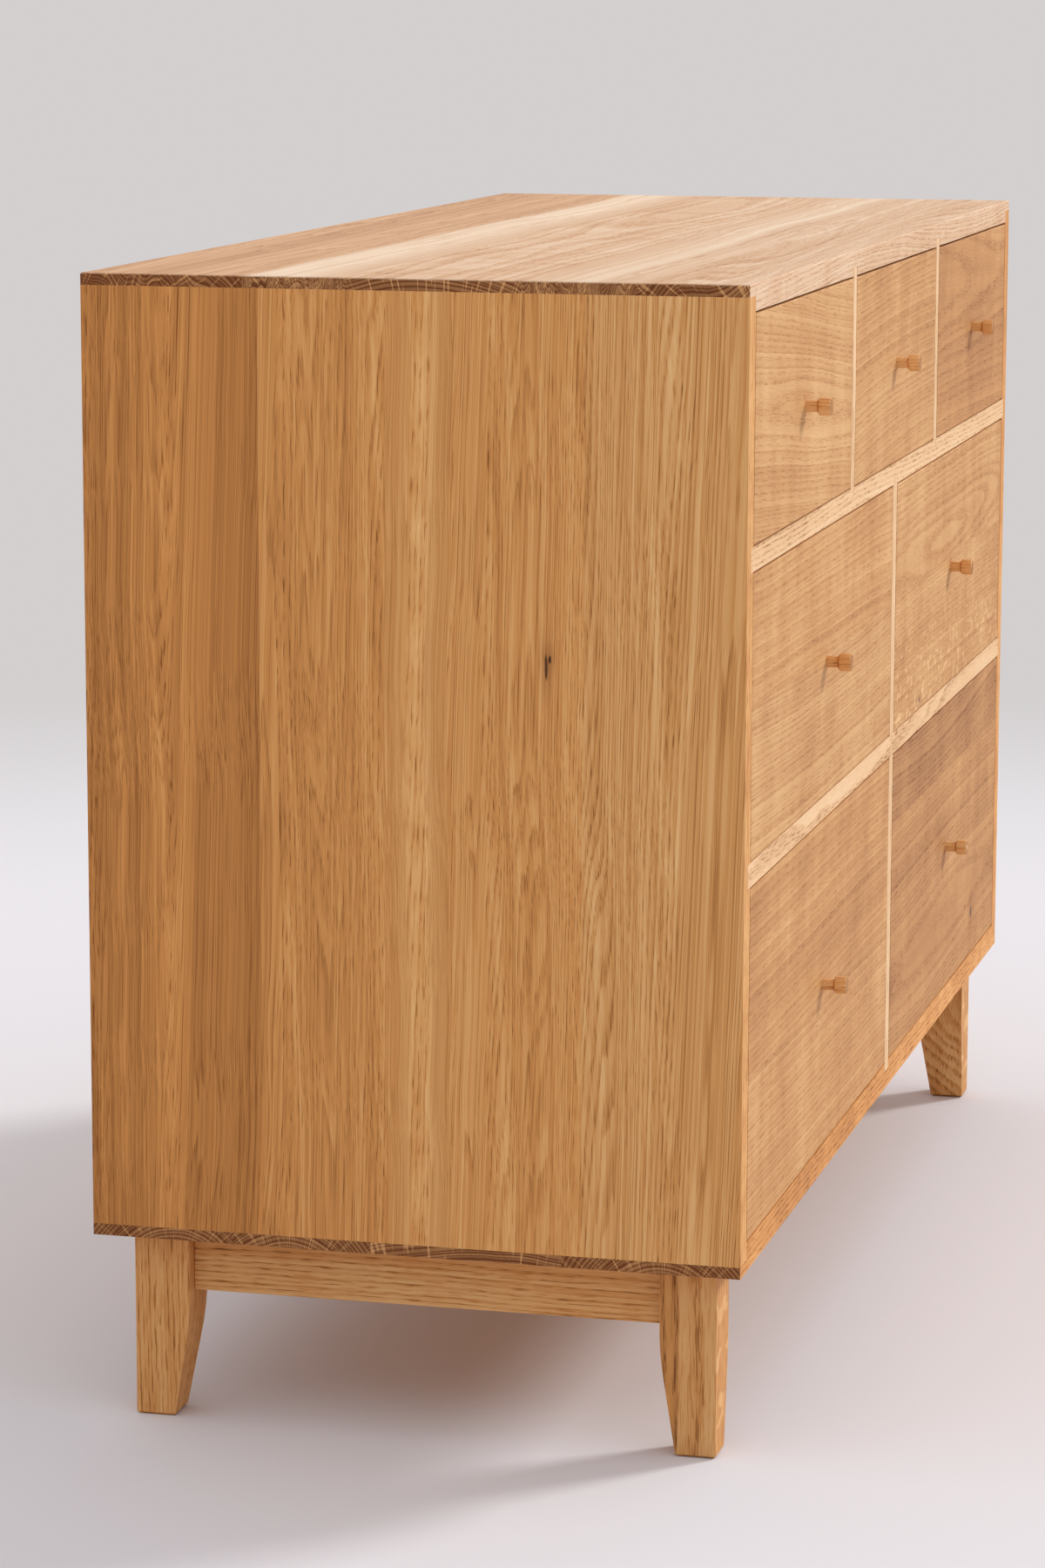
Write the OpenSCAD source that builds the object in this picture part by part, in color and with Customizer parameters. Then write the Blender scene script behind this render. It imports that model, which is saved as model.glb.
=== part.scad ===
// Oak dresser with seven inset drawers on four tapered legs.
// Millimetres, +Z up, +X to the right seen from the front, +Y to the back.
// The origin is on the floor, in the middle of the width and of the depth with the knobs.

/* [Case] */
// Width of the case, outside to outside
case_w = 1264; // [1100:1:1500]
// Depth of the case, front edge to back edge
case_d = 508; // [440:1:580]
// Height of the case without the legs
case_h = 738; // [690:1:860]
// Thickness of the two side boards
side_t = 22; // [19:0.5:26]
// Thickness of the top board
top_t = 20; // [19:0.5:26]
// Thickness of the bottom board
bottom_t = 22; // [20:0.5:26]
// Thickness left at the ends of the top and bottom boards, where they lap the sides
lap_t = 9; // [7:0.5:10]
// Thickness of the shelves between the rows
shelf_t = 18; // [16:0.5:22]
// Thickness of the upright between the wide drawers
centre_divider_t = 18; // [14:0.5:22]
// Thickness of the two uprights in the top row
upper_divider_t = 15; // [12:0.5:22]
// Thickness of the back panel
back_t = 8; // [6:0.5:10]
// Clear height of the top row
top_row_h = 172; // [140:1:190]
// Clear height of the middle row
middle_row_h = 217; // [190:1:230]
// Small chamfer on the edges of the top and of the drawer fronts
edge_ease = 0.8; // [0.4:0.1:2]

/* [Case joints] */
// How deep the shelves are let into the sides
side_housing = 8; // [5:0.5:10]
// How deep the uprights are let into the boards above and below them
divider_housing = 7; // [4:0.5:8]
// How deep the lower shelves are let into the centre upright
centre_housing = 5; // [3:0.5:6]
// How far the back panel laps the boards around it
back_lap = 10; // [7:0.5:10]

/* [Legs] */
// Height of the legs, from the floor to the case
leg_h = 148; // [120:1:180]
// Width of a leg at its top, both ways
leg_w = 44; // [40:1:56]
// Width of a leg at its foot, both ways
foot_w = 31; // [26:1:36]
// How far the legs stand in from the sides of the case
leg_inset_side = 22; // [10:1:40]
// How far the front legs stand back from the front of the case
leg_inset_front = 22; // [10:1:40]
// How far the back legs stand in from the back of the case
leg_inset_back = 26; // [10:1:40]
// Chamfer round each foot
foot_chamfer = 2; // [1:0.5:4]

/* [Leg rails] */
// Height of a leg rail
rail_h = 48; // [42:1:56]
// Thickness of a leg rail
rail_t = 22; // [18:1:28]
// Thickness of the rail's tenons
tenon_t = 10; // [8:0.5:12]
// Length of the rail's tenons
tenon_l = 20; // [16:1:22]
// Shoulder above and below the tenons
tenon_shoulder = 8; // [5:1:10]
// Diameter of the dowel in the top of each leg
dowel_d = 10; // [8:1:12]
// Length of the dowel inside the leg
dowel_leg_l = 26; // [20:1:32]
// Length of the dowel inside the bottom board
dowel_board_l = 14; // [10:1:16]
// Distance of the dowel from the outer face of the leg, front or back
dowel_edge = 12; // [10:1:14]

/* [Drawers] */
// Thickness of a drawer front
front_t = 20; // [18:0.5:24]
// Gap at each side of a drawer
side_gap = 1.2; // [0.8:0.1:2.5]
// Gap above a drawer front
front_gap_top = 2; // [1.2:0.1:3]
// Gap below a drawer front
front_gap_bottom = 1; // [0.6:0.1:2]
// Running gap below the drawer sides
run_gap = 0.3; // [0.2:0.1:0.5]
// Gap above the drawer sides
box_gap_top = 6; // [4:0.5:12]
// Gap behind the drawer box
box_gap_back = 12; // [6:1:30]
// Thickness of the drawer sides
drawer_side_t = 12; // [11:0.5:15]
// Thickness of the drawer back
drawer_back_t = 12; // [10:0.5:15]
// How far the drawer back stays below the top of the sides
back_drop = 6; // [2:1:12]
// Thickness of the drawer bottom
drawer_bottom_t = 6; // [4:0.5:8]
// Height of the drawer bottom above the lower edge of the sides
bottom_rise = 10; // [9:0.5:14]
// Depth of the grooves that hold the drawer bottom
groove_d = 5; // [3:0.5:6]

/* [Dovetails] */
// Depth of the dovetail sockets in a drawer front
socket_l = 14; // [11:0.5:16]
// Wanted spacing of the dovetails
tail_pitch = 46; // [36:1:60]
// Width of a dovetail at its narrow end, as a share of its spacing
tail_share = 0.6; // [0.5:0.05:0.7]
// Slope of the dovetail flanks, sideways for each millimetre of length
tail_slope = 0.14; // [0.1:0.01:0.18]

/* [Knobs] */
// How far a knob stands out from the drawer front
knob_reach = 20; // [16:0.5:32]
// Diameter of the knob's head
head_d = 14; // [12:0.5:24]
// Diameter of the stem where it leaves the drawer front
stem_d = 9.6; // [9:0.1:12]
// Diameter of the stem below the head
neck_d = 8.8; // [7:0.1:9]
// Length of the stem
stem_l = 9; // [7:0.5:12]
// Length of the cone from the stem up to the head
head_cone_l = 2; // [1:0.5:4]
// Chamfer round the end of the head
head_chamfer = 0.9; // [0.4:0.1:2]
// Diameter of the knob's tenon in the drawer front
knob_tenon_d = 8; // [6:0.5:8.5]
// Length of the knob's tenon
knob_tenon_l = 15; // [10:0.5:17]

/* [Drawer stops] */
// Width of a stop block
stop_w = 32; // [20:1:50]
// Depth of a stop block, front to back
stop_d = 14; // [10:1:24]
// Height of a stop block
stop_h = 6; // [4:0.5:8]

/* [Screws] */
// Shank diameter of the back panel screws
back_screw_d = 3.5; // [3:0.5:4]
// Head diameter of the back panel screws
back_screw_head_d = 7; // [6:0.5:8]
// Length of the back panel screws
back_screw_l = 24; // [18:1:30]
// Number of back panel screws in each row behind each small drawer
back_screws_per_bay = 2; // [1:1:4]
// Shank diameter of the leg rail screws
rail_screw_d = 5; // [4:0.5:6]
// Head diameter of the leg rail screws
rail_screw_head_d = 10; // [8:0.5:11]
// Height of the heads of the leg rail screws
rail_screw_head_h = 3; // [2:0.5:4]
// How far the leg rail screws reach into the bottom board
rail_screw_bite = 14; // [10:1:16]
// Wood of the rail left above the screw head
rail_screw_seat = 22; // [16:1:28]
// Number of screws in each leg rail
rail_screws = 3; // [2:1:4]
// Width of the slots of a cross recess
recess_w = 0.9; // [0.6:0.1:1.2]
// Depth of a cross recess
recess_h = 1.4; // [0.8:0.1:2]

/* [Hidden] */
// Overrun of every cut past the face it opens in
over = 1;
// Roundness of every turned or drilled surface
$fn = 64;

// Share of the leg's taper over which it starts gently, and the steps of that curve
taper_blend_share = 0.4;
taper_steps = 6;

// Share of the drawer's width at which its two stops stand from each side
stop_place_share = 0.22;
// Share of the screw head's diameter that the cross recess spans
recess_span_share = 0.6;

// Planes of the case
front_y = (knob_reach - case_d) / 2;
back_y = front_y + case_d;
bay_back_y = back_y - back_t;
case_x = case_w / 2;
inner_x = case_x - side_t;
floor_z = leg_h + bottom_t;
top_z = leg_h + case_h;
ceiling_z = top_z - top_t;
upper_shelf_z = ceiling_z - top_row_h - shelf_t;
lower_shelf_z = upper_shelf_z - middle_row_h - shelf_t;

// Planes of the two uprights in the top row, which split it into three equal bays
small_bay_w = (2 * inner_x - 2 * upper_divider_t) / 3;
upper_divider_x = small_bay_w / 2;
centre_x = centre_divider_t / 2;

// Each bay: its name, left, right, lower and upper plane
BAYS = [
    ["top_left", -inner_x, -upper_divider_x - upper_divider_t, upper_shelf_z + shelf_t, ceiling_z],
    ["top_centre", -upper_divider_x, upper_divider_x, upper_shelf_z + shelf_t, ceiling_z],
    ["top_right", upper_divider_x + upper_divider_t, inner_x, upper_shelf_z + shelf_t, ceiling_z],
    ["middle_left", -inner_x, -centre_x, lower_shelf_z + shelf_t, upper_shelf_z],
    ["middle_right", centre_x, inner_x, lower_shelf_z + shelf_t, upper_shelf_z],
    ["bottom_left", -inner_x, -centre_x, floor_z, lower_shelf_z],
    ["bottom_right", centre_x, inner_x, floor_z, lower_shelf_z],
];

// Parts of each leg's place: which end, and which face of the case it stands near
LEGS = [["front_left", -1, -1], ["front_right", 1, -1], ["back_left", -1, 1], ["back_right", 1, 1]];

CASE_NODES = [
    "top_panel", "bottom_panel", "left_side", "right_side", "upper_shelf", "lower_shelf_left",
    "lower_shelf_right", "centre_divider", "upper_divider_left", "upper_divider_right",
    "back_panel", "back_panel_screws", "drawer_stops", "left_leg_rail", "right_leg_rail",
    "leg_dowels", "leg_rail_screws",
];
DRAWER_PARTS = ["front", "sides", "back", "bottom", "knob"];

// Colours of the wood and the metal
pale_oak = [0.86, 0.70, 0.49];
side_oak = [0.80, 0.60, 0.38];
front_oak = [0.84, 0.64, 0.44];
leg_oak = [0.75, 0.54, 0.33];
inner_oak = [0.82, 0.68, 0.50];
screw_steel = [0.62, 0.62, 0.60];

// Shared shapes

// A plain board between two corners
module board(low, high) {
    translate(low) cube(high - low);
}

// An outline in the plane of Y and Z, drawn out along X
module along_x(x0, x1) {
    translate([x0, 0, 0]) rotate([90, 0, 90]) linear_extrude(height = x1 - x0) children();
}

// An outline in the plane of X and Z, drawn out along Y
module along_y(y0, y1) {
    translate([0, y1, 0]) rotate([90, 0, 0]) linear_extrude(height = y1 - y0) children();
}

// A board whose four upper edges are eased
module eased_top_board(low, high) {
    intersection() {
        along_x(low[0], high[0]) upper_eased_outline(low[1], high[1], low[2], high[2]);
        along_y(low[1], high[1]) upper_eased_outline(low[0], high[0], low[2], high[2]);
    }
}

// A rectangle with its two upper corners cut off
module upper_eased_outline(a0, a1, z0, z1) {
    polygon([
        [a0, z0],
        [a1, z0],
        [a1, z1 - edge_ease],
        [a1 - edge_ease, z1],
        [a0 + edge_ease, z1],
        [a0, z1 - edge_ease],
    ]);
}

// A board whose four front edges are eased
module eased_front_board(low, high) {
    intersection() {
        along_x(low[0], high[0]) polygon([
            [low[1] + edge_ease, low[2]],
            [high[1], low[2]],
            [high[1], high[2]],
            [low[1] + edge_ease, high[2]],
            [low[1], high[2] - edge_ease],
            [low[1], low[2] + edge_ease],
        ]);
        translate([0, 0, low[2]]) linear_extrude(height = high[2] - low[2]) polygon([
            [low[0], low[1] + edge_ease],
            [low[0] + edge_ease, low[1]],
            [high[0] - edge_ease, low[1]],
            [high[0], low[1] + edge_ease],
            [high[0], high[1]],
            [low[0], high[1]],
        ]);
    }
}

// The cross recess of a screw whose head looks down, at the origin
module cross_recess(head_d) {
    span = recess_span_share * head_d;
    for (turn = [0, 90]) {
        rotate([0, 0, turn]) translate([-span / 2, -recess_w / 2, -over])
            cube([span, recess_w, recess_h + over]);
    }
}

// Case

// The room of the back panel, with an overrun behind it for cutting
module back_panel_room(behind = 0) {
    board(
        [-inner_x - back_lap, bay_back_y, floor_z - back_lap],
        [inner_x + back_lap, back_y + behind, ceiling_z + back_lap]
    );
}

// The top or bottom board's end rebates, over the thickness of the sides
module end_rebates(z0, z1) {
    for (end = [-1, 1]) {
        translate([end * (inner_x + side_t / 2 + over / 2), front_y + case_d / 2, (z0 + z1) / 2])
            cube([side_t + over, case_d + 2 * over, z1 - z0], center = true);
    }
}

// The uprights of the top row, between two heights
module upper_divider_body(end, z0, z1, ahead = 0) {
    translate([end > 0 ? upper_divider_x : -upper_divider_x - upper_divider_t, front_y - ahead, z0])
        cube([upper_divider_t, bay_back_y - front_y + ahead, z1 - z0]);
}

// The room of the centre upright, with an overrun in front for cutting
module centre_divider_room(ahead = 0) {
    board(
        [-centre_x, front_y - ahead, floor_z - divider_housing],
        [centre_x, bay_back_y, upper_shelf_z + divider_housing]
    );
}

// The room of the upper shelf, with an overrun in front for cutting
module upper_shelf_room(ahead = 0) {
    board(
        [-inner_x - side_housing, front_y - ahead, upper_shelf_z],
        [inner_x + side_housing, bay_back_y, upper_shelf_z + shelf_t]
    );
}

// The room of a lower shelf, on the left for -1 and on the right for 1
module lower_shelf_room(end, ahead = 0) {
    shelf_l = inner_x + side_housing - centre_x + centre_housing;
    x0 = end > 0 ? centre_x - centre_housing : -inner_x - side_housing;
    translate([x0, front_y - ahead, lower_shelf_z]) cube([shelf_l, bay_back_y - front_y + ahead, shelf_t]);
}

module top_panel() {
    color(pale_oak) difference() {
        eased_top_board([-case_x, front_y, ceiling_z], [case_x, back_y, top_z]);
        end_rebates(ceiling_z - over, top_z - lap_t);
        for (end = [-1, 1]) upper_divider_body(end, ceiling_z - over, ceiling_z + divider_housing, over);
        back_panel_room(over);
        back_panel_screw_set();
    }
}

module bottom_panel() {
    color(side_oak) difference() {
        board([-case_x, front_y, leg_h], [case_x, back_y, floor_z]);
        end_rebates(leg_h + lap_t, floor_z + over);
        centre_divider_room(over);
        back_panel_room(over);
        back_panel_screw_set();
        leg_dowel_set();
        leg_rail_screw_set();
    }
}

// A side board, on the left for -1 and on the right for 1
module side_board(end) {
    difference() {
        translate([end > 0 ? inner_x : -case_x, front_y, leg_h + lap_t])
            cube([side_t, case_d, case_h - 2 * lap_t]);
        upper_shelf_room(over);
        lower_shelf_room(end, over);
        back_panel_room(over);
        back_panel_screw_set();
    }
}

module upper_shelf() {
    color(pale_oak) difference() {
        upper_shelf_room();
        for (end = [-1, 1]) {
            upper_divider_body(end, upper_shelf_z + shelf_t - divider_housing, ceiling_z, over);
        }
        centre_divider_room(over);
        back_panel_screw_set();
    }
}

module lower_shelf(end) {
    color(pale_oak) lower_shelf_room(end);
}

module centre_divider() {
    color(pale_oak) difference() {
        centre_divider_room();
        for (end = [-1, 1]) lower_shelf_room(end, over);
    }
}

module upper_divider(end) {
    color(pale_oak)
        upper_divider_body(end, upper_shelf_z + shelf_t - divider_housing, ceiling_z + divider_housing);
}

module back_panel() {
    color(inner_oak) difference() {
        back_panel_room();
        back_panel_screw_set();
    }
}

// Screws of the back panel

back_screw_x = inner_x + back_lap / 2;
back_screw_low_z = floor_z - back_lap / 2;
back_screw_high_z = ceiling_z + back_lap / 2;
back_screw_shelf_z = upper_shelf_z + shelf_t / 2;
back_screw_row = concat(
    [-back_screw_x, back_screw_x],
    [for (k = [0:2]) for (i = [1:back_screws_per_bay])
        BAYS[k][1] + (BAYS[k][2] - BAYS[k][1]) * (i - 0.5) / back_screws_per_bay]
);
back_screw_places = concat(
    [for (z = [back_screw_low_z, back_screw_shelf_z, back_screw_high_z]) for (x = back_screw_row) [x, z]],
    [for (x = [-back_screw_x, back_screw_x]) [x, (back_screw_low_z + back_screw_shelf_z) / 2]]
);

module back_panel_screw_set() {
    for (place = back_screw_places) {
        translate([place[0], back_y, place[1]]) rotate([90, 0, 0]) {
            cylinder(d = back_screw_d, h = back_screw_l);
            cylinder(d1 = back_screw_head_d, d2 = back_screw_d, h = (back_screw_head_d - back_screw_d) / 2);
        }
    }
}

module back_panel_screws() {
    color(screw_steel) difference() {
        back_panel_screw_set();
        for (place = back_screw_places) {
            translate([place[0], back_y, place[1]]) rotate([90, 0, 0]) cross_recess(back_screw_head_d);
        }
    }
}

// Legs and their rails

// The outer corner of a leg in plan, from its two direction signs
function leg_corner(leg) = [
    leg[1] * (case_x - leg_inset_side),
    leg[2] < 0 ? front_y + leg_inset_front : back_y - leg_inset_back,
];

// Width of a leg at a share of the way down its taper
function taper_w(down) =
    let (b = taper_blend_share, run = down < b ? down * down / (2 * b) : down - b / 2)
    leg_w - (leg_w - foot_w) * run / (1 - b / 2);

// One face of a leg: straight outside, tapered inside below the rail
module leg_outline() {
    taper_z = leg_h - rail_h;
    steps = [for (i = [0:taper_steps]) taper_blend_share * i / taper_steps];
    polygon(concat(
        [
            [foot_chamfer, 0],
            [0, foot_chamfer],
            [0, leg_h],
            [leg_w, leg_h],
        ],
        [for (down = steps) [taper_w(down), taper_z * (1 - down)]],
        [
            [taper_w(1 - foot_chamfer / taper_z), foot_chamfer],
            [foot_w - foot_chamfer, 0],
        ]
    ));
}

// The plain body of a leg with its outer corner on the origin, reaching to +X and +Y
module leg_body() {
    intersection() {
        along_x(0, leg_w) leg_outline();
        along_y(0, leg_w) leg_outline();
    }
}

module leg(place) {
    corner = leg_corner(place);
    color(leg_oak) difference() {
        translate([corner[0], corner[1], 0]) scale([-place[1], -place[2], 1]) leg_body();
        leg_rail_room(place[1]);
        leg_dowel_set();
    }
}

leg_front_y = front_y + leg_inset_front + leg_w;
leg_back_y = back_y - leg_inset_back - leg_w;
rail_x = case_x - leg_inset_side - leg_w / 2;

// A leg rail with its tenons, at the left end for -1 and at the right end for 1
module leg_rail_room(end) {
    translate([end * rail_x - rail_t / 2, leg_front_y, leg_h - rail_h])
        cube([rail_t, leg_back_y - leg_front_y, rail_h]);
    translate([end * rail_x - tenon_t / 2, leg_front_y - tenon_l, leg_h - rail_h + tenon_shoulder])
        cube([tenon_t, leg_back_y - leg_front_y + 2 * tenon_l, rail_h - 2 * tenon_shoulder]);
}

module leg_rail(end) {
    color(leg_oak) difference() {
        leg_rail_room(end);
        leg_rail_screw_set();
        for (y = rail_screw_places) {
            translate([end * rail_x, y, leg_h - rail_h - over])
                cylinder(d = rail_screw_head_d, h = rail_h - rail_screw_seat + over);
        }
    }
}

module leg_dowel_set() {
    for (place = LEGS) {
        corner = leg_corner(place);
        translate([
            corner[0] - place[1] * leg_w / 2,
            corner[1] - place[2] * dowel_edge,
            leg_h - dowel_leg_l,
        ])
            cylinder(d = dowel_d, h = dowel_leg_l + dowel_board_l);
    }
}

module leg_dowels() {
    color(inner_oak) leg_dowel_set();
}

// Places of the rail screws along Y, evenly between the legs
rail_screw_places = [
    for (i = [1:rail_screws]) leg_front_y + (leg_back_y - leg_front_y) * (i - 0.5) / rail_screws
];
rail_screw_z = leg_h - rail_screw_seat;

module leg_rail_screw_set() {
    for (end = [-1, 1]) {
        for (y = rail_screw_places) {
            translate([end * rail_x, y, rail_screw_z - rail_screw_head_h]) {
                cylinder(d = rail_screw_head_d, h = rail_screw_head_h);
                cylinder(d = rail_screw_d, h = rail_screw_head_h + rail_screw_seat + rail_screw_bite);
            }
        }
    }
}

module leg_rail_screws() {
    color(screw_steel) difference() {
        leg_rail_screw_set();
        for (end = [-1, 1]) {
            for (y = rail_screw_places) {
                translate([end * rail_x, y, rail_screw_z - rail_screw_head_h])
                    cross_recess(rail_screw_head_d);
            }
        }
    }
}

// Drawer stops, two in each bay, behind the drawer front

module drawer_stops() {
    color(inner_oak) for (bay = BAYS) {
        bay_w = bay[2] - bay[1];
        for (share = [stop_place_share, 1 - stop_place_share]) {
            translate([bay[1] + bay_w * share - stop_w / 2, front_y + front_t, bay[3]])
                cube([stop_w, stop_d, stop_h]);
        }
    }
}

// Drawers, each in its bay

// Outer planes of the drawer box and the heights of its sides
function box_x0(bay) = bay[1] + side_gap;
function box_x1(bay) = bay[2] - side_gap;
function box_z0(bay) = bay[3] + run_gap;
function box_z1(bay) = bay[4] - box_gap_top;
front_back_y = front_y + front_t;
box_back_y = bay_back_y - box_gap_back;
function bottom_z(bay) = box_z0(bay) + bottom_rise;
function back_z0(bay) = bottom_z(bay) + drawer_bottom_t;
function back_z1(bay) = box_z1(bay) - back_drop;

// A row of dovetails between two heights, widening from one depth to another, with an
// overrun before the narrow end and a given one past the wide end
module tails(x0, x1, z0, z1, narrow_y, wide_y, past) {
    count = max(2, round((z1 - z0) / tail_pitch));
    pitch = (z1 - z0) / count;
    half = pitch * tail_share / 2;
    wide = half + abs(wide_y - narrow_y) * tail_slope;
    way = wide_y > narrow_y ? 1 : -1;
    edge = [
        [narrow_y - way * over, half],
        [narrow_y, half],
        [wide_y, wide],
        if (past > 0) [wide_y + way * past, wide],
    ];
    for (i = [0:count - 1]) {
        z = z0 + pitch * (i + 0.5);
        along_x(x0, x1) polygon(concat(
            [for (p = edge) [p[0], z - p[1]]],
            [for (k = [len(edge) - 1:-1:0]) [edge[k][0], z + edge[k][1]]]
        ));
    }
}

// Dovetails of both sides of a drawer, with an overrun past the outer faces for cutting
module both_tails(bay, z0, z1, narrow_y, wide_y, past = 0) {
    tails(box_x0(bay) - over, box_x0(bay) + drawer_side_t, z0, z1, narrow_y, wide_y, past);
    tails(box_x1(bay) - drawer_side_t, box_x1(bay) + over, z0, z1, narrow_y, wide_y, past);
}

// The drawer front with its dovetail sockets
module front_body(bay) {
    difference() {
        eased_front_board(
            [box_x0(bay), front_y, bay[3] + front_gap_bottom],
            [box_x1(bay), front_back_y, bay[4] - front_gap_top]
        );
        both_tails(bay, box_z0(bay), box_z1(bay), front_back_y, front_back_y - socket_l);
    }
}

// The drawer back with its dovetail sockets
module back_body(bay) {
    difference() {
        board(
            [box_x0(bay), box_back_y - drawer_back_t, back_z0(bay)],
            [box_x1(bay), box_back_y, back_z1(bay)]
        );
        both_tails(bay, back_z0(bay), back_z1(bay), box_back_y - drawer_back_t, box_back_y, over);
    }
}

// The drawer bottom, which fills its grooves
module bottom_body(bay) {
    board(
        [box_x0(bay) + drawer_side_t - groove_d, front_back_y - groove_d, bottom_z(bay)],
        [box_x1(bay) - drawer_side_t + groove_d, box_back_y, back_z0(bay)]
    );
}

// Places a knob's own frame: its foot on the middle of the drawer front, its end to the front
module at_knob(bay) {
    z = (bay[3] + front_gap_bottom + bay[4] - front_gap_top) / 2;
    translate([(bay[1] + bay[2]) / 2, front_y, z]) rotate([90, 0, 0]) children();
}

module drawer_front(bay) {
    color(front_oak) difference() {
        front_body(bay);
        bottom_body(bay);
        at_knob(bay) translate([0, 0, -knob_tenon_l]) cylinder(d = knob_tenon_d, h = knob_tenon_l + over);
    }
}

module drawer_sides(bay) {
    color(inner_oak) difference() {
        for (x0 = [box_x0(bay), box_x1(bay) - drawer_side_t]) {
            board(
                [x0, front_back_y - socket_l, box_z0(bay)],
                [x0 + drawer_side_t, box_back_y, box_z1(bay)]
            );
        }
        front_body(bay);
        back_body(bay);
        bottom_body(bay);
    }
}

module drawer_back(bay) {
    color(inner_oak) back_body(bay);
}

module drawer_bottom(bay) {
    color(inner_oak) bottom_body(bay);
}

module drawer_knob(bay) {
    color(front_oak) at_knob(bay) rotate_extrude() polygon([
        [0, -knob_tenon_l],
        [knob_tenon_d / 2, -knob_tenon_l],
        [knob_tenon_d / 2, 0],
        [stem_d / 2, 0],
        [neck_d / 2, stem_l],
        [head_d / 2, stem_l + head_cone_l],
        [head_d / 2, knob_reach - head_chamfer],
        [head_d / 2 - head_chamfer, knob_reach],
        [0, knob_reach],
    ]);
}

// What is drawn

top_panel();
bottom_panel();
color(side_oak) side_board(-1);  // left_side
color(side_oak) side_board(1);  // right_side
upper_shelf();
lower_shelf(-1);  // lower_shelf_left
lower_shelf(1);  // lower_shelf_right
centre_divider();
upper_divider(-1);  // upper_divider_left
upper_divider(1);  // upper_divider_right
back_panel();
back_panel_screws();
drawer_stops();
leg_rail(-1);  // left_leg_rail
leg_rail(1);  // right_leg_rail
leg_dowels();
leg_rail_screws();
for (place = LEGS) {
    leg(place);
}
for (bay = BAYS) {
    drawer_front(bay);
    drawer_sides(bay);
    drawer_back(bay);
    drawer_bottom(bay);
    drawer_knob(bay);
}
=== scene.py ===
"""Seven-drawer dresser of solid oak on four tapered legs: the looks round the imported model.

The case, the drawers and their joints come from the frame. This script softens their edges,
turns the knobs, dresses every board in oak whose growth rings, pores and rays are worked
out in the solid, and sets up a plain pale studio with the camera at the photograph's angle.
"""

import logging
import math
from dataclasses import dataclass, field
from enum import Enum

import bpy
import numpy as np
from mathutils import Euler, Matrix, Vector


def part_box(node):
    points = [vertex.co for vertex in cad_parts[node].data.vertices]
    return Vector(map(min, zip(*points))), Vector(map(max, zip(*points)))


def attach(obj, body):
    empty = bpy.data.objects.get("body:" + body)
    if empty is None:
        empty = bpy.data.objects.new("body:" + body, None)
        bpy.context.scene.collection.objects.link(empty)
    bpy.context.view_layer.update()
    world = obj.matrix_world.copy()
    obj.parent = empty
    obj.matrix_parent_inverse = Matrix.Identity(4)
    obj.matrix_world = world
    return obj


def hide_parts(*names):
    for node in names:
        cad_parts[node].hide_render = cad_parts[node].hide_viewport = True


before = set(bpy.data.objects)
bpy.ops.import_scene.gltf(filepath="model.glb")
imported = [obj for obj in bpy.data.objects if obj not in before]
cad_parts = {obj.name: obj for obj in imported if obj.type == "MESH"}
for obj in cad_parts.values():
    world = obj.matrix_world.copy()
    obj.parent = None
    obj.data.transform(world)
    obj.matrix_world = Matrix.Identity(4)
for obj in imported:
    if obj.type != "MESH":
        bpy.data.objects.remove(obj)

LOG = logging.getLogger("dresser")
MM = 0.001
BAYS = (
    "top_left",
    "top_centre",
    "top_right",
    "middle_left",
    "middle_right",
    "bottom_left",
    "bottom_right",
)

Colour = tuple[float, float, float, float]
Pair = tuple[float, float]
Triple = tuple[float, float, float]
Material = bpy.types.Material
Socket = bpy.types.NodeSocket
Tree = bpy.types.NodeTree

# Faces of the case in the shared frame, in metres.
SIDE_FACE = -0.632
FRONT_FACE = -0.244


def mixed(red: int, green: int, blue: int) -> Colour:
    """Turns a colour as it is read on a screen into the linear one that a shader takes.

    Args:
        red: Red from 0 to 255.
        green: Green from 0 to 255.
        blue: Blue from 0 to 255.

    Returns:
        Linear red, green, blue and a full alpha.
    """
    screen = np.array([red, green, blue]) / 255.0
    linear = np.where(screen > 0.04045, ((screen + 0.055) / 1.055) ** 2.4, screen / 12.92)
    return (float(linear[0]), float(linear[1]), float(linear[2]), 1.0)


class Axis(Enum):
    """An axis of the shared frame."""

    X = 0
    Y = 1
    Z = 2


@dataclass(frozen=True)
class Lay:
    """How a board lies: which axis its width, its thickness and its grain follow."""

    width: Axis
    thickness: Axis
    grain: Axis


class Cut(Enum):
    """The ways in which the boards of the dresser lie."""

    FLAT = Lay(Axis.Y, Axis.Z, Axis.X)
    FRONT = Lay(Axis.Z, Axis.Y, Axis.X)
    UPRIGHT = Lay(Axis.Y, Axis.X, Axis.Z)
    WALL = Lay(Axis.X, Axis.Y, Axis.Z)
    RUNNER = Lay(Axis.Z, Axis.X, Axis.Y)


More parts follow.
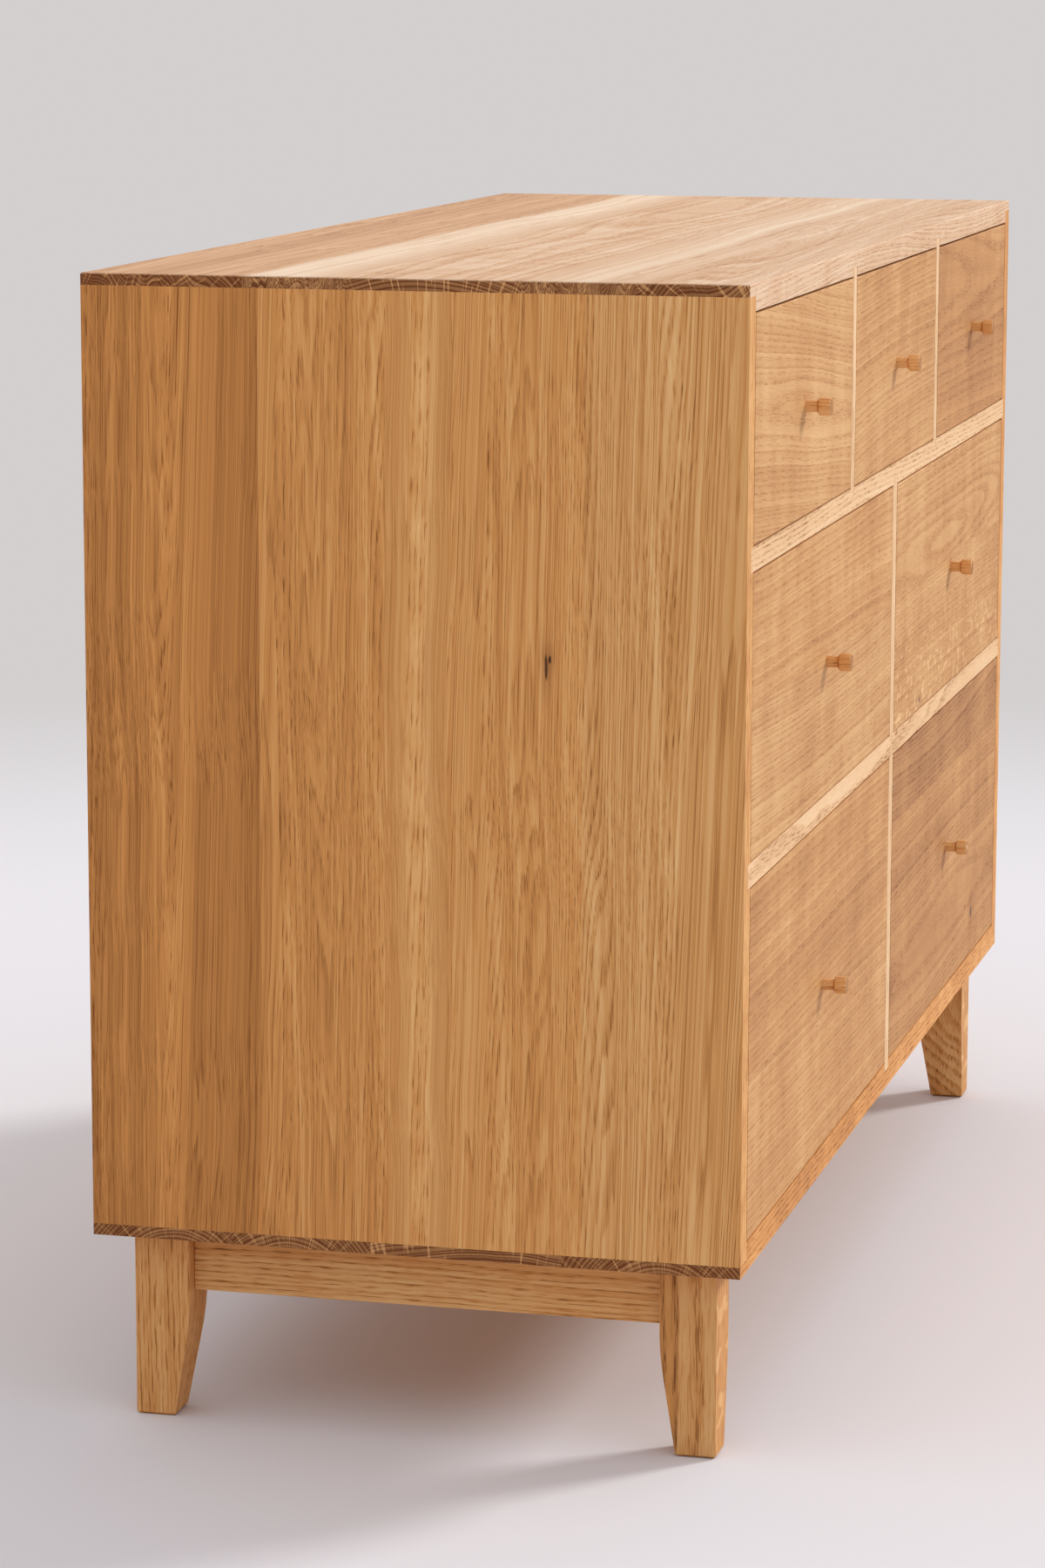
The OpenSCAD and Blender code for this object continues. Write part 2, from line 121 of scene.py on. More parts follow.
class Bench:
    """Sets out shader nodes in one tree and wires them together."""

    # The Mix node's colour sockets share their names with those for numbers.
    COLOUR_IN = (6, 7)
    COLOUR_OUT = 2

    def __init__(self, tree: Tree) -> None:
        """Starts on a tree.

        Args:
            tree: The node tree to work in.
        """
        self.tree = tree

    def add(self, kind: str, **settings: object) -> bpy.types.Node:
        """Adds a node.

        Args:
            kind: Blender's name of the node type.
            **settings: Properties to set on the node.

        Returns:
            The new node.
        """
        node = self.tree.nodes.new(kind)
        for name, value in settings.items():
            setattr(node, name, value)
        return node

    def put(self, socket: Socket, value: object) -> None:
        """Wires a socket to another, or sets it to a constant.

        Args:
            socket: The input to feed.
            value: An output socket or a constant.
        """
        if isinstance(value, Socket):
            self.tree.links.new(value, socket)
        else:
            socket.default_value = value

    def sum(self, operation: str, *values: object, clamp: bool = False) -> Socket:
        """Works out one step of arithmetic.

        Args:
            operation: The Math node's operation.
            *values: Its inputs, sockets or numbers.
            clamp: Whether the result is held between 0 and 1.

        Returns:
            The result's socket.
        """
        node = self.add("ShaderNodeMath", operation=operation, use_clamp=clamp)
        for socket, value in zip(node.inputs, values):
            self.put(socket, value)
        return node.outputs[0]

    def total(self, start: object, *terms: tuple[object, float]) -> Socket:
        """Adds weighted values to a start value.

        Args:
            start: The value to begin with.
            *terms: Pairs of a socket and its weight.

        Returns:
            The sum's socket.
        """
        result = start
        for value, weight in terms:
            result = self.sum("MULTIPLY_ADD", value, weight, result)
        return result

    def vector(self, operation: str, *values: object) -> Socket:
        """Works out one step of vector arithmetic.

        Args:
            operation: The Vector Math node's operation.
            *values: Its inputs, sockets or triples.

        Returns:
            The result's socket.
        """
        node = self.add("ShaderNodeVectorMath", operation=operation)
        for socket, value in zip(node.inputs, values):
            self.put(socket, value)
        return node.outputs["Value"] if operation in ("LENGTH", "DOT_PRODUCT") else node.outputs[0]

    def join(self, x: object, y: object, z: object) -> Socket:
        """Joins three values, sockets or numbers, into a vector."""
        node = self.add("ShaderNodeCombineXYZ")
        for socket, value in zip(node.inputs, (x, y, z)):
            self.put(socket, value)
        return node.outputs[0]

    def split(self, value: object, colour: bool = False) -> list[Socket]:
        """Splits a vector into its three values, or a colour into red, green and blue.

        Args:
            value: The vector or the colour.
            colour: Whether it is a colour.

        Returns:
            The sockets of its three parts.
        """
        node = self.add("ShaderNodeSeparateColor" if colour else "ShaderNodeSeparateXYZ")
        self.put(node.inputs[0], value)
        return list(node.outputs)

    def noise(
        self,
        place: object,
        scale: Triple,
        detail: float = 2.0,
        rough: float = 0.5,
    ) -> bpy.types.Node:
        """Samples a cloudy noise, stretched by a scale per axis.

        Args:
            place: The point to sample.
            scale: Cells per metre along each axis.
            detail: Number of finer layers.
            rough: Strength of the finer layers.

        Returns:
            The noise node.
        """
        node = self.add("ShaderNodeTexNoise", noise_dimensions="3D")
        self.put(node.inputs["Vector"], self.vector("MULTIPLY", place, scale))
        node.inputs["Scale"].default_value = 1.0
        node.inputs["Detail"].default_value = detail
        node.inputs["Roughness"].default_value = rough
        return node

    def around(self, value: object) -> Socket:
        """Moves a value that runs from 0 to 1 so that it swings round zero."""
        return self.sum("SUBTRACT", value, 0.5)

    def rise(self, value: object, low: float, high: float, even: bool = False) -> Socket:
        """Rises from 0 at one value to 1 at another.

        Args:
            value: The value to read.
            low: Where the rise starts.
            high: Where it ends.
            even: Whether it rises in a straight line, not with soft ends.

        Returns:
            The risen value's socket.
        """
        way = "LINEAR" if even else "SMOOTHSTEP"
        node = self.add("ShaderNodeMapRange", interpolation_type=way)
        self.put(node.inputs["Value"], value)
        node.inputs["From Min"].default_value = low
        node.inputs["From Max"].default_value = high
        return node.outputs[0]

    def ramp(self, share: object, way: str, stops: list[tuple[float, Colour]]) -> bpy.types.Node:
        """Reads a colour from a row of stops.

        Args:
            share: Where to read, from 0 to 1.
            way: How it passes from one stop to the next.
            stops: Pairs of a place from 0 to 1 and a colour, in order.

        Returns:
            The ramp node.
        """
        node = self.add("ShaderNodeValToRGB")
        self.put(node.inputs[0], share)
        node.color_ramp.interpolation = way
        steps = node.color_ramp.elements
        steps.remove(steps[1])
        steps[0].position, steps[0].color = stops[0]
        for at, colour in stops[1:]:
            steps.new(at).color = colour
        return node

    def blend(self, share: object, first: object, second: object, way: str = "MIX") -> Socket:
        """Blends two colours.

        Args:
            share: How much of the second shows.
            first: The first colour.
            second: The second colour.
            way: The Mix node's blend type.

        Returns:
            The blended colour's socket.
        """
        node = self.add("ShaderNodeMix", data_type="RGBA", blend_type=way)
        self.put(node.inputs[0], share)
        for count, colour in zip(self.COLOUR_IN, (first, second)):
            self.put(node.inputs[count], colour)
        return node.outputs[self.COLOUR_OUT]


@dataclass(frozen=True)
class Stave:
    """One of the strips that are glued edge to edge into a board.

    Attributes:
        start: Where it begins along the board's width, in metres.
        tone: Its lightness, 0.5 for the middle of the finish.
        warmth: How far it leans to red, 0.5 for the middle.
        pith: Where the heart of its log lay along the board's width, in metres.
        depth: How far the heart lay behind the board, in metres.
    """

    start: float
    tone: float
    warmth: float
    pith: float
    depth: float


@dataclass(frozen=True)
class Knot:
    """A small knot or crack that shows on a board's face.

    Attributes:
        place: Its middle, in metres.
        reach: Its half size along each axis, in metres.
        colour: What it is coloured at its heart.
    """

    place: Triple
    reach: Triple
    colour: Colour


@dataclass(frozen=True)
class Figure:
    """The oak's figure, worked out in the solid log, as one node group that all boards share.

    A point's distance from the heart of the log, bent by slow noise, is cut into yearly
    rings. Pores lie thickest where a ring begins, drawn out along the grain. Rays run out
    from the heart in thin upright sheets: lines on the end grain, flecks on a quarter face.

    The noises are given by their cells per metre: a pair across and along the grain, or
    one number for each axis.

    Attributes:
        sway: How far the rings wander across the grain, in metres, slow and quick.
        wander: Noise of the slow sway.
        ripple: Noise of the quick sway.
        uneven: Noise of the years' widths, and how much they change, in rings.
        pore: Noise of the fine pores.
        streak: Noise of the longer dark dashes.
        fibre: Noise of the finest lines.
        drift: Noise of the broad changes of tone.
        line: Noise of the narrow changes of tone.
        sheet: Noise of the rays: for each radian, outwards per metre, along per metre.
        band: Noise of the cross bands.
        cloud: Noise of the soft blotches.
        cool: What wood without warmth is multiplied by.
        warm: What the warmest wood is multiplied by.
        name: What the group is called.
    """

    sway: Pair = (0.050, 0.0045)
    wander: Triple = (2.0, 2.0, 1.0)
    ripple: Triple = (22.0, 22.0, 4.5)
    uneven: Pair = (62.0, 3.4)
    pore: Pair = (950.0, 58.0)
    streak: Pair = (480.0, 20.0)
    fibre: Pair = (2100.0, 30.0)
    drift: Pair = (20.0, 0.9)
    line: Pair = (130.0, 2.4)
    sheet: Triple = (95.0, 26.0, 95.0)
    band: Triple = (11.0, 11.0, 26.0)
    cloud: Triple = (5.5, 5.5, 6.5)
    cool: Colour = (0.965, 1.0, 1.07, 1.0)
    warm: Colour = (1.045, 0.985, 0.92, 1.0)
    name: str = "oak figure"

    NUMBERS = {
        "Tone": 0.5,
        "Warmth": 0.5,
        "Pith": 0.0,
        "Depth": 0.1,
        "Ring": 0.003,
        "Ring contrast": 1.0,
        "Pores": 1.0,
        "Mottle": 1.0,
        "Fleck": 1.0,
    }
    COLOURS = ("Dark", "Middle", "Pale", "End dark", "End pale")
    OUTPUTS = {"Colour": "Color", "Roughness": "Float", "Height": "Float"}

    def build(self) -> Tree:
        """Builds the node group.

        Returns:
            The group, ready to be used in a board's finish.
        """
        tree = bpy.data.node_groups.new(self.name, "ShaderNodeTree")
        inputs = {"Place": "Vector", "Facing": "Vector"}
        inputs.update(dict.fromkeys(self.NUMBERS, "Float"), **dict.fromkeys(self.COLOURS, "Color"))
        for way, sockets in (("INPUT", inputs), ("OUTPUT", self.OUTPUTS)):
            for label, kind in sockets.items():
                tree.interface.new_socket(label, in_out=way, socket_type=f"NodeSocket{kind}")
        for label, value in self.NUMBERS.items():
            tree.interface.items_tree[label].default_value = value
        bench = Bench(tree)
        given = bench.add("NodeGroupInput").outputs
        result = bench.add("NodeGroupOutput").inputs
        # Each stave is sawn from another length of the log, so that no two look the same.
        shift = bench.total(
            0.0, (given["Pith"], 37.0), (given["Depth"], 91.0), (given["Tone"], 53.0)
        )
        log = bench.vector("ADD", given["Place"], bench.join(0.0, 0.0, shift))

        ring, early, years = self._rings(bench, given, log)
        pores = bench.rise(self._drawn(bench, log, self.pore, 1.0), 0.50, 0.66)
        dashes = bench.rise(self._drawn(bench, log, self.streak, 2.0), 0.50, 0.74)
        ray, radial = self._rays(bench, given, ring)
        fibre = bench.around(self._drawn(bench, log, self.fibre, 0.0))
        drift = bench.around(self._drawn(bench, log, self.drift, 2.0))
        line = bench.around(self._drawn(bench, log, self.line, 2.0))
        mottle = self._mottle(bench, given, log)

        porous = bench.sum("MULTIPLY", pores, bench.total(0.30, (early, 0.70)))
        porous = bench.sum("MULTIPLY", porous, given["Pores"])
        dashed = bench.sum("MULTIPLY", dashes, bench.total(0.20, (early, 0.80)))
        dashed = bench.sum("MULTIPLY", dashed, given["Pores"])
        contrast = bench.sum("MULTIPLY", early, given["Ring contrast"])
        fleck = bench.sum("MULTIPLY", bench.sum("MULTIPLY", ray, given["Fleck"]), radial)
        # What each mark adds to the lightness of a face, or takes from it.
        tone = bench.total(
            given["Tone"],
            (drift, 0.28),
            (line, 0.20),
            (mottle, 1.0),
            (bench.around(years), 0.10),
            (contrast, -0.13),
            (porous, -0.34),
            (dashed, -0.16),
            (fibre, 0.16),
            (fleck, 0.42),
        )
        tone = bench.sum("ADD", tone, 0.13, clamp=True)
        low = bench.blend(bench.rise(tone, 0.0, 0.5, even=True), given["Dark"], given["Middle"])
        face = bench.blend(bench.rise(tone, 0.5, 1.0, even=True), low, given["Pale"])

        # The same for end grain, where the rays show as pale lines.
        end_tone = bench.total(
            0.34,
            (bench.around(given["Tone"]), 0.5),
            (drift, 0.35),
            (early, -0.34),
            (porous, -0.16),
            (bench.around(years), 0.25),
            (ray, 0.50),
            (fibre, 0.10),
        )
        end_grain = bench.blend(
            bench.sum("ADD", end_tone, 0.0, clamp=True), given["End dark"], given["End pale"]
        )
        sawn = bench.rise(bench.sum("ABSOLUTE", bench.split(given["Facing"])[2]), 0.60, 0.85)
        colour = bench.blend(sawn, face, end_grain)
        cast = bench.blend(given["Warmth"], self.cool, self.warm)
        colour = bench.blend(1.0, colour, cast, "MULTIPLY")
        rough = bench.total(0.60, (porous, 0.16), (dashed, 0.08), (fleck, -0.10), (sawn, 0.16))
        height = bench.total(0.5, (porous, -0.45), (dashed, -0.25), (fibre, 0.10), (fleck, 0.05))
        for label, value in (("Colour", colour), ("Roughness", rough), ("Height", height)):
            bench.put(result[label], value)
        return tree

    @staticmethod
    def _drawn(
        bench: Bench, log: object, scale: Pair, detail: float
    ) -> Socket:
        """Samples a noise that is drawn out along the grain."""
        across, along = scale
        return bench.noise(log, (across, across, along), detail).outputs[0]

    @staticmethod
    def _swayed(
        bench: Bench, log: object, scale: Triple, detail: float, sway: float
    ) -> Socket:
        """Samples how far the rings are pushed aside, across the grain only."""
        push = bench.noise(log, scale, detail).outputs["Color"]
        push = bench.vector("SUBTRACT", push, (0.5, 0.5, 0.5))
        return bench.vector("MULTIPLY", push, (sway, sway, 0.0))

    def _rings(
        self, bench: Bench, given: object, log: object
    ) -> tuple[Socket, Socket, Socket]:
        """Works out the yearly rings.

        Args:
            bench: Where the nodes go.
            given: The group's inputs.
            log: The point in the log.

        Returns:
            The point seen from the heart, how far into the porous early wood it lies, and
            a tone that changes from ring to ring.
        """
        slow, quick = self.sway
        bent = bench.vector(
            "ADD",
            self._swayed(bench, log, self.wander, 1.0, slow),
            self._swayed(bench, log, self.ripple, 2.0, quick),
        )
        heart = bench.join(bench.sum("MULTIPLY", given["Pith"], -1.0), given["Depth"], 0.0)
        seen = bench.vector("ADD", bench.vector("ADD", given["Place"], heart), bent)
        across, deep, along = bench.split(seen)
        radius = bench.vector("LENGTH", bench.join(across, deep, 0.0))
        uneven = bench.add("ShaderNodeTexNoise", noise_dimensions="1D")
        bench.put(uneven.inputs["W"], bench.sum("MULTIPLY", radius, self.uneven[0]))
        uneven.inputs["Scale"].default_value = 1.0
        count = bench.total(
            bench.sum("DIVIDE", radius, given["Ring"]),
            (bench.around(uneven.outputs[0]), self.uneven[1]),
        )
        part = bench.sum("FRACT", count)
        late = bench.rise(part, 0.10, 0.62)
        turn = bench.rise(part, 0.90, 1.0)
        early = bench.sum("MAXIMUM", bench.sum("SUBTRACT", 1.0, late), turn)
        years = bench.add("ShaderNodeTexWhiteNoise", noise_dimensions="1D")
        bench.put(years.inputs["W"], bench.sum("FLOOR", count))
        return seen, early, years.outputs["Value"]

    def _rays(self, bench: Bench, given: object, seen: object) -> tuple[Socket, Socket]:
        """Works out the rays that run out from the heart.

        Args:
            bench: Where the nodes go.
            given: The group's inputs.
            seen: The point seen from the heart.

        Returns:
            How much of a ray lies at the point, and 1 where the face is cut along the rays.
        """
        across, deep, along = bench.split(seen)
        angle = bench.sum("ARCTAN2", across, deep)
        radius = bench.vector("LENGTH", bench.join(across, deep, 0.0))
        sheet = bench.noise(bench.join(angle, radius, along), self.sheet, 0.0).outputs[0]
        out = bench.vector("NORMALIZE", bench.join(across, deep, 0.0))
        flat = bench.sum("ABSOLUTE", bench.vector("DOT_PRODUCT", given["Facing"], out))
        return bench.rise(sheet, 0.60, 0.70), bench.rise(flat, 0.45, 0.08)

    def _mottle(self, bench: Bench, given: object, log: object) -> Socket:
        """Works out the soft blotches and cross bands where the grain dips and rises."""
        band = bench.around(bench.noise(log, self.band, 2.0).outputs[0])
        cloud = bench.around(bench.noise(log, self.cloud, 2.0).outputs[0])
        return bench.sum(
            "MULTIPLY", bench.total(0.0, (band, 0.30), (cloud, 0.42)), given["Mottle"]
        )


@dataclass(frozen=True)
class OakFinish:
    """Oiled oak: the colours that the figure is drawn in.

    Attributes:
        name: What the finish is called; not used.
        dark: Colour of the darkest pores on a face.
        middle: Colour of plain wood.
        pale: Colour of sapwood and flecks; the top's face colours also carry a painted sheen.
        end_dark: Colour of the darkest end grain.
        end_pale: Colour of the rays on end grain.
        ring: Distance from one year's ring to the next, in metres.
        contrast: How strongly the rings show; they show less in redder wood.
        pores: How dark the pores are.
        mottle: How blotchy the wood is.
        fleck: How strongly the rays show.
    """

    name: str
    dark: Colour
    middle: Colour
    pale: Colour
    end_dark: Colour = mixed(112, 62, 28)
    end_pale: Colour = mixed(222, 166, 108)
    ring: float = 0.0030
    contrast: float = 1.0
    pores: float = 1.0
    mottle: float = 1.0
    fleck: float = 1.0


CASE_OAK = OakFinish(
    "case oak", mixed(136, 82, 34), mixed(214, 149, 82), mixed(252, 207, 140), mottle=1.2
)
# Paler and greyer than the case oak: partly pale sapwood, partly painted sheen. The colours are
# raised to stand in for the pale room's reflection on the top, which the weak mirror light leaves
# out.
TOP_OAK_AND_PAINTED_SHEEN = OakFinish(
    "top oak and painted sheen",
    mixed(150, 98, 60),
    mixed(211, 169, 129),
    mixed(246, 226, 198),
    pores=0.7,
    mottle=0.8,
    fleck=0.3,
)
FRONT_OAK = OakFinish(
    "front oak",
    mixed(134, 78, 34),
    mixed(196, 143, 88),
    mixed(236, 195, 137),
    ring=0.0034,
    contrast=0.85,
    pores=0.6,
)
RAIL_OAK = OakFinish(
    "rail oak",
    mixed(158, 108, 64),
    mixed(228, 184, 134),
    mixed(250, 224, 184),
    mottle=0.5,
    fleck=0.3,
)
LEG_OAK = OakFinish(
    "leg oak",
    mixed(118, 70, 30),
    mixed(204, 140, 76),
    mixed(248, 208, 146),
    ring=0.0026,
    mottle=0.4,
    fleck=0.5,
)
KNOB_OAK = OakFinish(
    "knob oak",
    mixed(150, 94, 44),
    mixed(222, 162, 98),
    mixed(250, 212, 154),
    end_dark=mixed(160, 104, 56),
    end_pale=mixed(232, 186, 134),
    ring=0.0022,
    mottle=0.3,
    fleck=0.4,
)
BOX_OAK = OakFinish(
    "box oak",
    mixed(150, 102, 60),
    mixed(218, 172, 122),
    mixed(246, 216, 172),
    mottle=0.6,
    fleck=0.7,
)


@dataclass(frozen=True)
class OakBoard:
    """Dresses a board: its lay, its staves, its streaks of sapwood and its knots.

    Attributes:
        label: What the dressed material is called.
        finish: The colours it is drawn in.
        cut: How the board lies.
        staves: The strips it is glued from. Where there are none, the width is cut into
            even strips whose logs are drawn by lot.
        pitch: Width of an even strip, in metres.
        spread: How much the even strips differ in tone.
        streaks: Pairs of a place along the width and a change of tone there, blended softly.
        knots: Small knots on its face.
        lean: How far the grain leans across the width for each metre along it.
        shift: Picks other even strips from the same lot.
        level: Where the board's face lies through its thickness, in metres.
        sheen: Strength of the oiled face's mirror light, 0.5 for that of glass.
        relief: How strongly the pores dent the light, and how deep they are, in metres.
    """

    # The finish's values that go straight into the figure's inputs.
    FINISH_INPUTS = (
        "ring", "pores", "mottle", "fleck", "dark", "middle", "pale", "end_dark", "end_pale"
    )
    # The last stave is given this width at most, in metres.
    LAST_WIDTH = 0.5
    # The even strips are counted from this far below the middle, so that none is negative.
    LOT_START = 3.017
    # How strongly the rings show in cool wood, and how much less in the reddest.
    RING_SHOW = 1.3
    RED_LOSS = 1.1
    # The redder wood that lies round a knot.
    HALO = mixed(150, 92, 48)

    label: str
    finish: OakFinish
    cut: Cut
    staves: tuple[Stave, ...] = ()
    pitch: float = 0.118
    spread: float = 0.16
    streaks: tuple[Pair, ...] = ()
    knots: tuple[Knot, ...] = ()
    lean: float = 0.0
    shift: float = 0.0
    level: float = 0.0
    sheen: float = 0.2
    relief: Pair = (0.55, 0.25 * MM)

    def build(self, figure: Tree) -> Material:
        """Builds the board's material.

        Args:
            figure: The oak's shared figure.

        Returns:
            The material.
        """
        material = bpy.data.materials.new(self.label)
        material.use_nodes = True
        bench = Bench(material.node_tree)
        shader = material.node_tree.nodes["Principled BSDF"]
        lay = self.cut.value
        coordinates = bench.add("ShaderNodeTexCoord").outputs
        place = self._turned(bench, coordinates["Object"], lay)
        facing = self._turned(bench, coordinates["Normal"], lay)
        width, thickness, along = bench.split(place)
        sunk = bench.sum("SUBTRACT", thickness, self.level)
        place = bench.join(bench.total(width, (along, self.lean)), sunk, along)
        wood = bench.add("ShaderNodeGroup", node_tree=figure)
        bench.put(wood.inputs["Place"], place)
        bench.put(wood.inputs["Facing"], facing)
        pick = self._chosen if self.staves else self._drawn_by_lot
        tone, warmth, pith, depth = pick(bench, width)
        if self.streaks:
            tone = bench.sum("ADD", tone, self._streaked(bench, width, place))
        finish = self.finish
        contrast = bench.total(
            self.RING_SHOW * finish.contrast, (warmth, -self.RED_LOSS * finish.contrast)
        )
        labels = ("Tone", "Warmth", "Pith", "Depth", "Ring contrast")
        for label, value in zip(labels, (tone, warmth, pith, depth, contrast)):
            bench.put(wood.inputs[label], value)
        for name in self.FINISH_INPUTS:
            label = name.replace("_", " ").capitalize()
            wood.inputs[label].default_value = getattr(finish, name)
        colour = wood.outputs["Colour"]
        for knot in self.knots:
            colour = self._knotted(bench, coordinates["Object"], knot, colour)
        bump = bench.add("ShaderNodeBump")
        bump.inputs["Strength"].default_value = self.relief[0]
        bump.inputs["Distance"].default_value = self.relief[1]
        bench.put(bump.inputs["Height"], wood.outputs["Height"])
        bench.put(shader.inputs["Base Color"], colour)
        bench.put(shader.inputs["Roughness"], wood.outputs["Roughness"])
        shader.inputs["Specular IOR Level"].default_value = self.sheen
        bench.put(shader.inputs["Normal"], bump.outputs[0])
        return material

    @staticmethod
    def _turned(bench: Bench, value: object, lay: Lay) -> Socket:
        """Turns a vector so that it reads across the board, through it and along the grain."""
        parts = bench.split(value)
        order = (lay.width, lay.thickness, lay.grain)
        return bench.join(*(parts[axis.value] for axis in order))

    def _chosen(self, bench: Bench, width: object) -> tuple[object, ...]:
        """Reads tone, warmth, pith and depth from the board's own staves.

        The four values are held in a ramp without blending, one step for each stave, with
        the pith stored from -1 m to 1 m and the depth from 0 to 1 m.
        """
        start, end = self.staves[0].start, self.staves[-1].start + self.LAST_WIDTH
        stops = [
            (
                (stave.start - start) / (end - start),
                (stave.tone, stave.warmth, (stave.pith + 1.0) / 2.0, stave.depth),
            )
            for stave in self.staves
        ]
        ramp = bench.ramp(bench.rise(width, start, end, even=True), "CONSTANT", stops)
        red, green, blue = bench.split(ramp.outputs["Color"], colour=True)
        pith = bench.total(-1.0, (blue, 2.0))
        return red, green, pith, ramp.outputs["Alpha"]

    def _drawn_by_lot(self, bench: Bench, width: object) -> tuple[object, ...]:
        """Draws tone, warmth, pith and depth for even strips by lot, the same each time."""
        before = self.LOT_START + self.shift
        strip = bench.sum("DIVIDE", bench.sum("ADD", width, before), self.pitch)
        strip = bench.sum("FLOOR", strip)
        lot = bench.add("ShaderNodeTexWhiteNoise", noise_dimensions="1D")
        bench.put(lot.inputs["W"], bench.sum("ADD", strip, self.shift * 17.0))
        red, green, blue = bench.split(lot.outputs["Color"], colour=True)
        tone = bench.total(0.5 - self.spread / 2.0, (red, self.spread))
        warmth = bench.total(0.25, (green, 0.5))
        middle = bench.sum("MULTIPLY", bench.sum("ADD", strip, 0.5), self.pitch)
        pith = bench.total(bench.sum("SUBTRACT", middle, before), (bench.around(blue), 0.34))
        depth = bench.total(0.03, (lot.outputs["Value"], 0.22))
        return tone, warmth, pith, depth

    def _streaked(self, bench: Bench, width: object, place: object) -> Socket:
        """Reads the change of tone across the width, a little unsteady along the grain."""
        start, end = self.streaks[0][0], self.streaks[-1][0]
        unsteady = bench.around(bench.noise(place, (3.0, 3.0, 2.6), 2.0).outputs[0])
        share = bench.rise(bench.total(width, (unsteady, 0.03)), start, end, even=True)
        stops = [
            ((at - start) / (end - start), (0.5 + change,) * 3 + (1.0,))
            for at, change in self.streaks
        ]
        ramp = bench.ramp(share, "EASE", stops)
        return bench.around(bench.split(ramp.outputs["Color"], colour=True)[0])

    def _knotted(self, bench: Bench, place: object, knot: Knot, colour: object) -> Socket:
        """Darkens the wood in an uneven oval round a knot, with a faint halo."""
        away = bench.vector("SUBTRACT", place, knot.place)
        ragged = bench.around(bench.noise(place, (240.0, 240.0, 90.0), 2.0).outputs[0])
        reach = bench.vector("LENGTH", bench.vector("DIVIDE", away, knot.reach))
        reach = bench.total(reach, (ragged, 1.1))
        heart = bench.sum("SUBTRACT", 1.0, bench.rise(reach, 0.55, 1.0))
        halo = bench.sum("MULTIPLY", bench.sum("SUBTRACT", 1.0, bench.rise(reach, 0.7, 4.5)), 0.34)
        colour = bench.blend(halo, colour, self.HALO)
        return bench.blend(bench.sum("MULTIPLY", heart, 0.92), colour, knot.colour)


LEFT_SIDE = OakBoard(
    "left side oak",
    CASE_OAK,
    Cut.UPRIGHT,
    staves=(
        Stave(-0.260, 0.52, 0.10, -0.62, 0.34),
        Stave(-0.124, 0.50, 0.50, 0.26, 0.16),
        Stave(-0.004, 0.44, 0.58, 0.30, 0.22),
        Stave(0.124, 0.27, 0.82, -0.16, 0.20),
    ),
    streaks=(
        (-0.254, 0.0), (-0.190, 0.03), (-0.120, 0.0), (-0.050, -0.04),
        (-0.022, -0.02), (-0.004, 0.10), (0.010, 0.10), (0.030, 0.0),
        (0.110, -0.05), (0.200, 0.03), (0.262, -0.04),
    ),
    knots=(
        Knot((SIDE_FACE, -0.094, 0.604), (0.004, 0.0016, 0.011), mixed(52, 26, 14)),
        Knot((SIDE_FACE, -0.0965, 0.609), (0.004, 0.0014, 0.004), mixed(60, 30, 16)),
    ),
    lean=0.035,
    level=SIDE_FACE,
)
RIGHT_SIDE = OakBoard(
    "right side oak", CASE_OAK, Cut.UPRIGHT, pitch=0.127, shift=2.0, lean=-0.02, level=0.61
)
# Drawn in the top's colours, whose paleness is partly painted sheen.
TOP_BOARD = OakBoard(
    "top board oak",
    TOP_OAK_AND_PAINTED_SHEEN,
    Cut.FLAT,
    staves=(
        Stave(-0.260, 0.50, 0.45, -0.33, 0.12),
        Stave(-0.118, 0.50, 0.50, 0.00, 0.14),
        Stave(0.1355, 0.40, 0.75, 0.30, 0.10),
    ),
    streaks=(
        (-0.256, 0.02), (-0.160, 0.0), (-0.130, 0.04), (-0.118, 0.26),
        (-0.104, 0.12), (-0.066, 0.0), (0.060, 0.0), (0.096, 0.22),
        (0.130, 0.28), (0.137, 0.0), (0.262, -0.06),
    ),
    level=0.866,
)
BOTTOM_BOARD = OakBoard(
    "bottom board oak",
    CASE_OAK,
    Cut.FLAT,
    staves=(
        Stave(-0.260, 0.44, 0.60, -0.19, 0.05),
        Stave(-0.110, 0.55, 0.45, -0.04, 0.30),
        Stave(0.040, 0.50, 0.50, 0.11, 0.05),
        Stave(0.150, 0.45, 0.60, 0.20, 0.04),
    ),
    level=0.148,
)
SHELF = OakBoard("shelf oak", RAIL_OAK, Cut.FLAT, pitch=0.131, spread=0.10, level=0.56)
DIVIDER = OakBoard("divider oak", RAIL_OAK, Cut.UPRIGHT, pitch=0.143, spread=0.10, shift=1.0)
BACK_PANEL = OakBoard(
    "back panel oak", BOX_OAK, Cut.WALL, pitch=0.112, spread=0.16, shift=3.0, level=0.25
)
LEG = OakBoard("leg oak", LEG_OAK, Cut.UPRIGHT, pitch=0.9, spread=0.04, shift=0.4)
LEG_RAIL = OakBoard(
    "leg rail oak",
    LEG_OAK,
    Cut.RUNNER,
    staves=(Stave(0.0, 0.53, 0.40, 0.55, 0.05),),
)
BOX_SIDES = OakBoard("drawer side oak", BOX_OAK, Cut.RUNNER, pitch=0.109, spread=0.12, shift=4.0)
BOX_BACK = OakBoard(
    "drawer back oak", BOX_OAK, Cut.FRONT, pitch=0.121, spread=0.12, shift=5.0, level=0.23
)
BOX_BOTTOM = OakBoard("drawer bottom oak", BOX_OAK, Cut.FLAT, pitch=0.137, spread=0.12, shift=6.0)
STOP = OakBoard("stop oak", BOX_OAK, Cut.RUNNER, pitch=0.5, spread=0.05, shift=7.0)
DOWEL = OakBoard("dowel oak", BOX_OAK, Cut.UPRIGHT, pitch=0.5, spread=0.05, shift=8.0)
KNOB = OakBoard("knob oak", KNOB_OAK, Cut.RUNNER, pitch=0.31, spread=0.10, shift=9.0)


